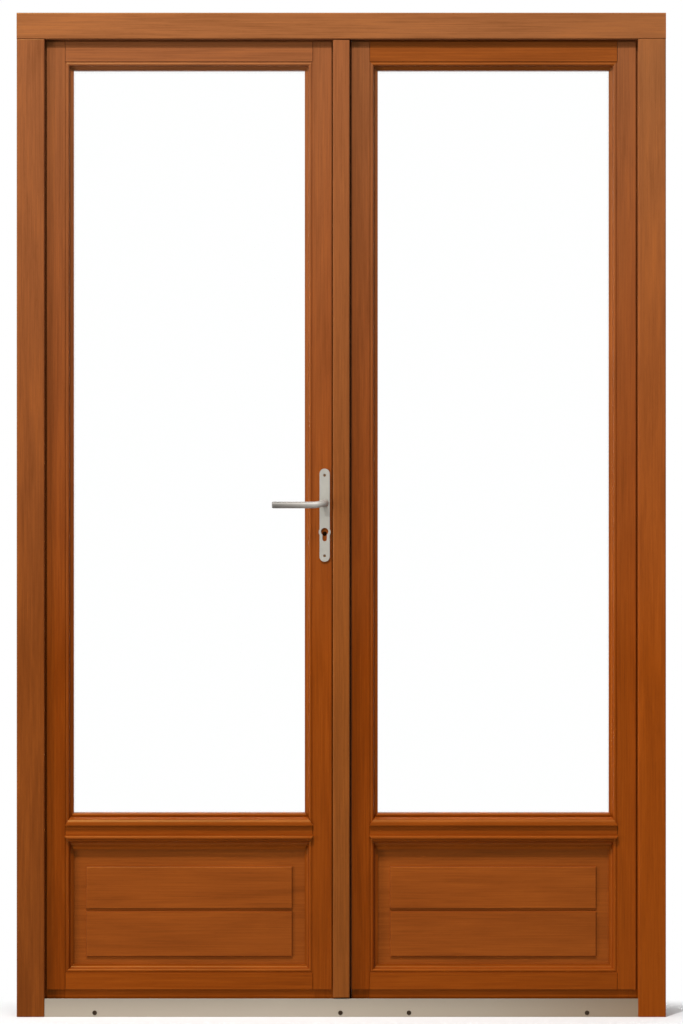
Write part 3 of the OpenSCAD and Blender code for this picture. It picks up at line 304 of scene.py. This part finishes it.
def clear_glass(name):
    """Clear float glass that lets the lamps' light through to what stands behind it."""
    material, tree, shader = new_material(name)
    shader.inputs["Base Color"].default_value = (0.998, 1.0, 0.999, 1)
    shader.inputs["Roughness"].default_value = 0.0
    shader.inputs["IOR"].default_value = 1.45
    shader.inputs["Transmission Weight"].default_value = 1.0
    shadow_ray = add(tree, "LightPath").outputs["Is Shadow Ray"]
    show_either(tree, shadow_ray, shader, add(tree, "BsdfTransparent"))
    return material


def dress(name, material):
    item = nodes[name]
    item.data.materials.clear()
    item.data.materials.append(material)


# Stains, from the deep ones low on the doors to the pale ones at the head; besides the stain's own colour,
# the deep ones hold painted shade and the pale ones painted light
CHESTNUT = (0.21, 0.034, 0.001)
RUSSET = (0.28, 0.052, 0.003)
NUTMEG = (0.20, 0.045, 0.007)
TAN = (0.28, 0.061, 0.008)
TOFFEE = (0.26, 0.070, 0.013)
AMBER = (0.25, 0.078, 0.027)
HONEY = (0.28, 0.094, 0.031)

# Upright boards: stain and strength at the foot, then at the head; the change from foot to head and the
# strengths hold painted light and shade besides the stain
UPRIGHTS = {
    "left_jamb": ((NUTMEG, 1.00), (AMBER, 0.95)),
    "right_jamb": ((RUSSET, 1.12), (HONEY, 1.00)),
    "astragal": ((TOFFEE, 1.00), (AMBER, 1.05)),
    "left_hinge_stile": ((CHESTNUT, 0.95), (AMBER, 0.95)),
    "left_meeting_stile": ((RUSSET, 0.92), (AMBER, 1.02)),
    "right_hinge_stile": ((RUSSET, 1.05), (AMBER, 0.98)),
    "right_meeting_stile": ((CHESTNUT, 1.05), (AMBER, 0.90)),
    "left_side_beads": ((TAN, 1.00), (TAN, 1.00)),
    "right_side_beads": ((TAN, 1.00), (TAN, 1.00)),
}
# Level boards: stain and strength, paler on the head and deeper on the low rails as painted light and shade
# besides the stain
LEVELS = {
    "head": (HONEY, 1.00),
    "left_top_rail": (AMBER, 1.00),
    "left_middle_rail": (RUSSET, 0.93),
    "left_bottom_rail": (RUSSET, 0.95),
    "right_top_rail": (NUTMEG, 1.12),
    "right_middle_rail": (RUSSET, 0.97),
    "right_bottom_rail": (RUSSET, 1.00),
    "left_panel": (TAN, 0.98),
    "right_panel": (TAN, 1.03),
    "left_end_beads": (TAN, 1.00),
    "right_end_beads": (TAN, 1.00),
}

boards = [(name, "Z", foot, top) for name, (foot, top) in UPRIGHTS.items()]
boards += [(name, "X", stain_and_light, stain_and_light) for name, stain_and_light in LEVELS.items()]
for seed, (name, grain, foot, top) in enumerate(boards, 1):
    figure = WIDE_FIGURE if name.endswith(WIDE_BOARDS) else PLAIN_FIGURE
    dress(name, wood("stain_and_light_" + name, grain, tinted(*foot), tinted(*top), seed, figure))

handle_metal = satin_metal("satin_nickel", (0.40, 0.372, 0.332), 0.5, "X", 0.3)
# Painted shade towards the levers' tips
shade_lever_tips(handle_metal)
plate_metal = satin_metal("satin_nickel_plate", (0.435, 0.415, 0.362), 0.45, "Z", 0.45)
# Painted shade and painted reflection of the wood: the plate screws' steel is darker and browner than the
# plate
shaded_screw_steel = satin_metal("screw_steel_painted_shade", (0.17, 0.09, 0.045), 0.45, "X")

BY_SLOT = {
    "threshold": anodised_metal("anodised_aluminium", (0.473, 0.404, 0.318)),
    "screws": satin_metal("dulled_screw_steel", (0.050, 0.034, 0.022), 0.50, "X"),
    "seal": speckled("black_seal", (0.018, 0.016, 0.015), (0.034, 0.031, 0.028), 400),
    "pile": speckled("brown_pile", (0.13, 0.036, 0.006), (0.28, 0.085, 0.018), 1800),
    "glass": clear_glass("clear_glass"),
    "spacer": satin_metal("mill_aluminium", (0.60, 0.59, 0.56), 0.40, "Z"),
    "fittings": satin_metal("zinc_steel", (0.56, 0.54, 0.50), 0.38, "Z"),
}
for part in frame["record"]["subparts"]:
    if part["material_slot"] in BY_SLOT:
        dress(part["node"], BY_SLOT[part["material_slot"]])
dress("plate_screws", shaded_screw_steel)
for side in ("outer", "inner"):
    dress(side + "_lever", handle_metal)
    dress(side + "_plate", plate_metal)


# Studio: a pale floor, a white background, and light from above and from the left, in front

def background_ray(tree):
    """1 for rays that see the background: from the camera, through glass and mirrored in metal or glass."""
    path = add(tree, "LightPath")
    direct = combined(tree, "MAXIMUM", path.outputs["Is Camera Ray"], path.outputs["Is Transmission Ray"])
    return combined(tree, "MAXIMUM", direct, path.outputs["Is Glossy Ray"])


def lit_world():
    """White where it is seen, and a dimmer light on the doors."""
    world = bpy.data.worlds.new("studio")
    bpy.context.scene.world = world
    world.use_nodes = True
    tree = world.node_tree
    background = tree.nodes["Background"]
    feed(tree, spread(tree, background_ray(tree), AMBIENT, 1.0), background.inputs["Strength"])
    background.inputs["Color"].default_value = (*WHITE, 1)


def floor_material():
    """Takes the doors' shadow near them, turns white further off, and throws little light back up."""
    material, tree, shader = new_material("pale_floor")
    seen = background_ray(tree)
    feed(tree, spread(tree, seen, FLOOR_BOUNCE, FLOOR_PALE), shader.inputs["Base Color"])
    shader.inputs["Roughness"].default_value = 0.9
    shader.inputs["Specular IOR Level"].default_value = 0.0
    near_spot = add(tree, "Mapping")
    near_spot.inputs["Scale"].default_value = (1 / FLOOR_NEAR[0], 1 / FLOOR_NEAR[1], 1)
    feed(tree, add(tree, "TexCoord").outputs["Object"], near_spot.inputs["Vector"])
    distance = add(tree, "VectorMath", operation="LENGTH")
    feed(tree, near_spot.outputs["Vector"], distance.inputs[0])
    far = spread_from(tree, distance.outputs["Value"], 1.0, FLOOR_FADE, interpolation_type="SMOOTHSTEP")
    show_either(tree, combined(tree, "MULTIPLY", seen, far), shader, add(tree, "Emission"))
    return material


def pale_floor():
    half = FLOOR_SIZE / 2
    corners = [(-half, -half, 0), (half, -half, 0), (half, half, 0), (-half, half, 0)]
    mesh = bpy.data.meshes.new("floor")
    mesh.from_pydata(corners, [], [(0, 1, 2, 3)])
    mesh.materials.append(floor_material())
    floor = bpy.data.objects.new("floor", mesh)
    bpy.context.collection.objects.link(floor)
    floor.location.z = cad_low[2] - FLOOR_GAP


def aim(item, place, target):
    item.location = place
    item.rotation_euler = (Vector(target) - Vector(place)).to_track_quat("-Z", "Y").to_euler()


def softbox(name, power, size, place, target):
    """A rectangular lamp of a power in watts."""
    lamp = bpy.data.lights.new(name, "AREA")
    lamp.shape = "RECTANGLE"
    lamp.size, lamp.size_y = size
    lamp.energy = power
    item = bpy.data.objects.new(name, lamp)
    bpy.context.collection.objects.link(item)
    aim(item, place, target)
    return item


def drop_shadow_of(name, lamp):
    """Keeps one piece from casting a shadow by one lamp."""
    unshaded = bpy.data.collections.new(lamp.name + "_casts_no_shadow_of")
    unshaded.objects.link(nodes[name])
    lamp.light_linking.blocker_collection = unshaded
    unshaded.collection_objects[0].light_linking.link_state = "EXCLUDE"


lit_world()
pale_floor()
key = softbox("key", power=250, size=(0.22, 0.22), place=(-1.35, -3.7, 6.1), target=(0, 0, 1.1))
softbox("overhead", power=45, size=(3.0, 0.6), place=(0, -2.2, 4.2), target=(0, 0, 1.2))
softbox("side", power=46, size=(0.8, 2.6), place=(-2.8, -1.8, 1.1), target=(0, 0, 1.1))
drop_shadow_of("outer_lever", key)


# Camera, square to the doors at the photograph's scale

def photo_camera():
    metres_per_px = (cad_high[2] - cad_low[2]) / (FRAME_FOOT_PX - FRAME_HEAD_PX)
    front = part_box("head")[0][1]
    place = Vector((
        (IMAGE_W / 2 - FRAME_MID_PX) * metres_per_px,
        front - CAMERA_DISTANCE,
        (FRAME_FOOT_PX - IMAGE_H / 2) * metres_per_px,
    ))
    lens = bpy.data.cameras.new("camera")
    lens.sensor_fit = "AUTO"
    lens.sensor_width = SENSOR
    lens.lens = SENSOR * CAMERA_DISTANCE / (IMAGE_H * metres_per_px)
    item = bpy.data.objects.new("camera", lens)
    bpy.context.collection.objects.link(item)
    aim(item, place, place + Vector((0, 1, 0)))
    bpy.context.scene.camera = item


photo_camera()
bpy.context.scene.view_settings.view_transform = "Standard"
